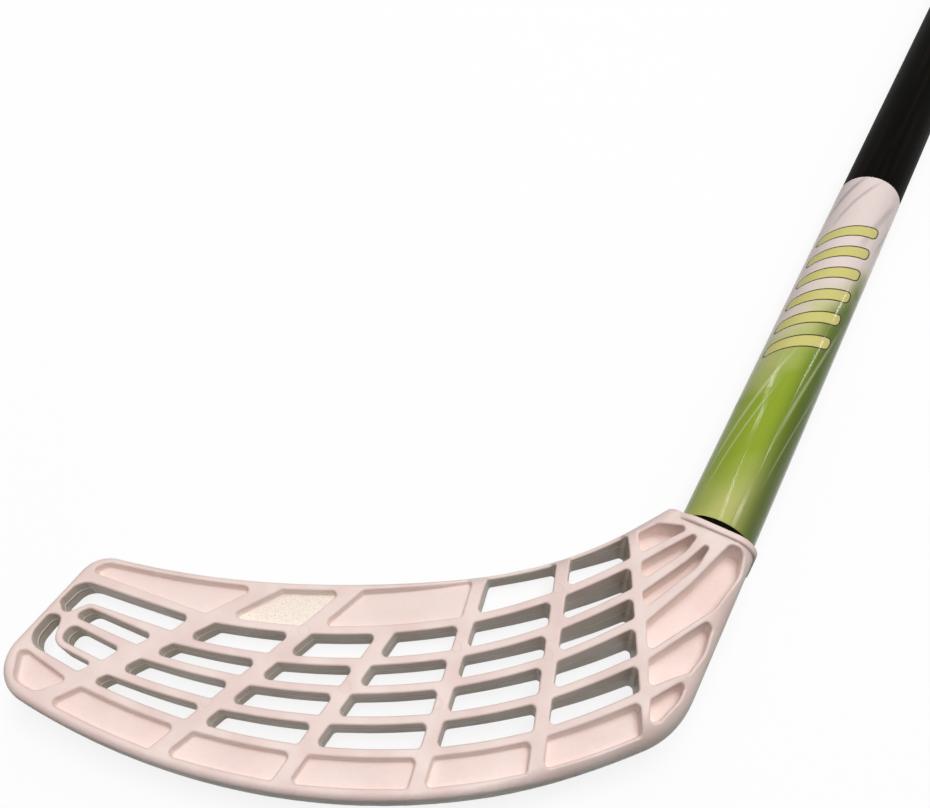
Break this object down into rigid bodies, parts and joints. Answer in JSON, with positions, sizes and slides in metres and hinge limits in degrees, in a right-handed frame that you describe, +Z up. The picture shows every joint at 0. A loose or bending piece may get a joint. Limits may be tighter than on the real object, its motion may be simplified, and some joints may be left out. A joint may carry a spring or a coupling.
{
  "type": "floorball stick",
  "caption": "Floorball stick with a hooked, ribbed plastic blade screwed into a round tube shaft that has a printed film wrap, a wound grip and a butt cap.",
  "frame": {"origin": "middle of the footprint, on the floor that the stick lies on with the hollow of its blade up", "axes": "+Y along the shaft from the blade to the butt, +Z up from the floor, -X to the side that the toe of the blade points"},
  "size_m": [0.1852, 1.0586, 0.0304],
  "materials": {
    "blade_plastic": "moulded white plastic with a warm tint, satin",
    "shaft_composite": "black satin lacquer on fibre composite",
    "film_print": "glossy printed film, green to white",
    "screw_steel": "zinc plated steel",
    "grip_wrap": "soft perforated grip wrap, matt",
    "finish_tape": "vinyl closing tape",
    "cap_plastic": "moulded black plastic"
  },
  "bodies": {
    "root": {"blade": "blade_plastic", "shaft_tube": "shaft_composite", "decal_wrap": "film_print", "blade_screws": "screw_steel", "grip_tape": "grip_wrap", "grip_finish_tape": "finish_tape", "end_cap": "cap_plastic"}
  },
  "joints": []
}
